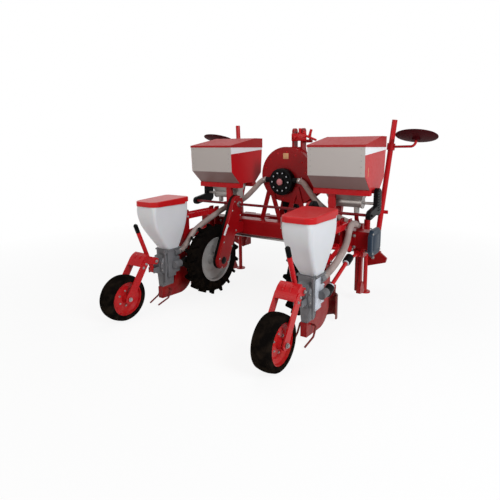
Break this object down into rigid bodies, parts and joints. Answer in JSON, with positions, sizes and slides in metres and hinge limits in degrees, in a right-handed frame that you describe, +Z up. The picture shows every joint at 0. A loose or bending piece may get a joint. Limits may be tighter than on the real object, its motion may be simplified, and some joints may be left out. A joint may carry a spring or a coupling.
{
  "type": "precision planter",
  "caption": "Mounted pneumatic precision planter with row units, seed hoppers, fertilizer tanks, vacuum fan, lugged drive wheels and folded disc markers.",
  "frame": {"origin": "on the ground under the centre of the whole machine's box", "axes": "+X to the right across the rows, +Y in the direction of travel, +Z up"},
  "size_m": [2.532, 2.0701, 1.5886],
  "materials": {
    "red_paint": "gloss",
    "hopper_plastic": "satin",
    "cast_aluminium": "satin",
    "black_plastic": "matte",
    "bright_steel": "satin",
    "slate_paint": "satin",
    "tyre_rubber": "matte",
    "maroon_paint": "gloss",
    "grey_paint": "satin"
  },
  "bodies": {
    "frame": {"belt_guard": "red_paint", "bevel_boxes": "grey_paint", "cardan_shafts": "maroon_paint", "chain_case_backs": "black_plastic", "chain_cases": "red_paint", "clod_deflectors": "maroon_paint", "covering_tines": "maroon_paint", "cross_shaft": "maroon_paint", "depth_handles": "black_plastic", "depth_tubes": "red_paint", "fan_housing": "red_paint", "fan_legs": "red_paint", "fan_manifold": "black_plastic", "fertilizer_meters": "grey_paint", "fertilizer_openers": "red_paint", "frame_members": "red_paint", "front_beam": "red_paint", "furrow_openers": "red_paint", "gear_guard": "slate_paint", "hitch_mast": "red_paint", "hopper_left": "hopper_plastic", "hopper_right": "hopper_plastic", "lower_hitch_pins": "bright_steel", "lower_hitch_plates": "red_paint", "marker_brackets": "red_paint", "meter_chain_guards": "black_plastic", "press_axles": "bright_steel", "press_forks": "red_paint", "rear_toolbar": "red_paint", "seed_meters": "cast_aluminium", "seed_shaft": "bright_steel", "stand_sleeves": "red_paint", "tank_left": "red_paint", "tank_right": "red_paint", "tank_supports": "red_paint", "toolbar_caps": "black_plastic", "unit_arms": "red_paint", "unit_brackets": "red_paint", "unit_chassis": "red_paint", "vacuum_hose_left": "grey_paint", "vacuum_hose_right": "grey_paint"},
    "pto_shaft": {"pto_shaft": "bright_steel"},
    "drive_wheel_left": {"drive_rim_left": "grey_paint", "drive_tyre_left": "tyre_rubber"},
    "press_wheel_left": {"press_rim_left": "red_paint", "press_tyre_left": "tyre_rubber"},
    "tank_lid_left": {"tank_lid_left": "red_paint"},
    "hopper_lid_left": {"hopper_lid_left": "red_paint"},
    "marker_arm_left": {"marker_arm_left": "red_paint"},
    "marker_disc_left": {"marker_disc_left": "maroon_paint"},
    "stand_leg_left": {"stand_leg_left": "red_paint"},
    "drive_wheel_right": {"drive_rim_right": "grey_paint", "drive_tyre_right": "tyre_rubber"},
    "press_wheel_right": {"press_rim_right": "red_paint", "press_tyre_right": "tyre_rubber"},
    "tank_lid_right": {"tank_lid_right": "red_paint"},
    "hopper_lid_right": {"hopper_lid_right": "red_paint"},
    "marker_arm_right": {"marker_arm_right": "red_paint"},
    "marker_disc_right": {"marker_disc_right": "maroon_paint"},
    "stand_leg_right": {"stand_leg_right": "red_paint"}
  },
  "joints": [
    {"name": "drive_wheel_left_turn", "type": "hinge", "parent": "frame", "child": "drive_wheel_left", "pos_m": [-0.505, 0.005, 0.322], "axis": [1, 0, 0], "continuous": true},
    {"name": "press_wheel_left_turn", "type": "hinge", "parent": "frame", "child": "press_wheel_left", "pos_m": [-0.7, -0.855, 0.18], "axis": [1, 0, 0], "continuous": true},
    {"name": "tank_lid_left_open", "type": "hinge", "parent": "frame", "child": "tank_lid_left", "pos_m": [-0.635, 0.7, 1.3453], "axis": [-1, 0, 0], "range_deg": [0, 95]},
    {"name": "hopper_lid_left_open", "type": "hinge", "parent": "frame", "child": "hopper_lid_left", "pos_m": [-0.7, -0.203, 0.8923], "axis": [-1, 0, 0], "range_deg": [0, 100]},
    {"name": "marker_left_lower", "type": "hinge", "parent": "frame", "child": "marker_arm_left", "pos_m": [-0.77, 0.85, 0.33], "axis": [0, -1, 0], "range_deg": [0, 81]},
    {"name": "marker_disc_left_turn", "type": "hinge", "parent": "marker_arm_left", "child": "marker_disc_left", "pos_m": [-1.089, 0.86, 1.422], "axis": [0, 0.2924, 0.9563], "continuous": true},
    {"name": "stand_left_raise", "type": "slide", "parent": "frame", "child": "stand_leg_left", "axis": [0, 0, 1], "range_m": [0, 0.3]},
    {"name": "drive_wheel_right_turn", "type": "hinge", "parent": "frame", "child": "drive_wheel_right", "pos_m": [0.505, 0.005, 0.322], "axis": [1, 0, 0], "continuous": true},
    {"name": "press_wheel_right_turn", "type": "hinge", "parent": "frame", "child": "press_wheel_right", "pos_m": [0.7, -0.855, 0.18], "axis": [1, 0, 0], "continuous": true},
    {"name": "tank_lid_right_open", "type": "hinge", "parent": "frame", "child": "tank_lid_right", "pos_m": [0.635, 0.7, 1.3453], "axis": [-1, 0, 0], "range_deg": [0, 95]},
    {"name": "hopper_lid_right_open", "type": "hinge", "parent": "frame", "child": "hopper_lid_right", "pos_m": [0.7, -0.203, 0.8923], "axis": [-1, 0, 0], "range_deg": [0, 100]},
    {"name": "marker_right_lower", "type": "hinge", "parent": "frame", "child": "marker_arm_right", "pos_m": [0.77, 0.85, 0.33], "axis": [0, 1, 0], "range_deg": [0, 81]},
    {"name": "marker_disc_right_turn", "type": "hinge", "parent": "marker_arm_right", "child": "marker_disc_right", "pos_m": [1.089, 0.86, 1.422], "axis": [0, 0.2924, 0.9563], "continuous": true},
    {"name": "stand_right_raise", "type": "slide", "parent": "frame", "child": "stand_leg_right", "axis": [0, 0, 1], "range_m": [0, 0.3]},
    {"name": "pto_turn", "type": "hinge", "parent": "frame", "child": "pto_shaft", "pos_m": [0, 0.7, 0.77], "axis": [0, 1, 0], "continuous": true}
  ]
}
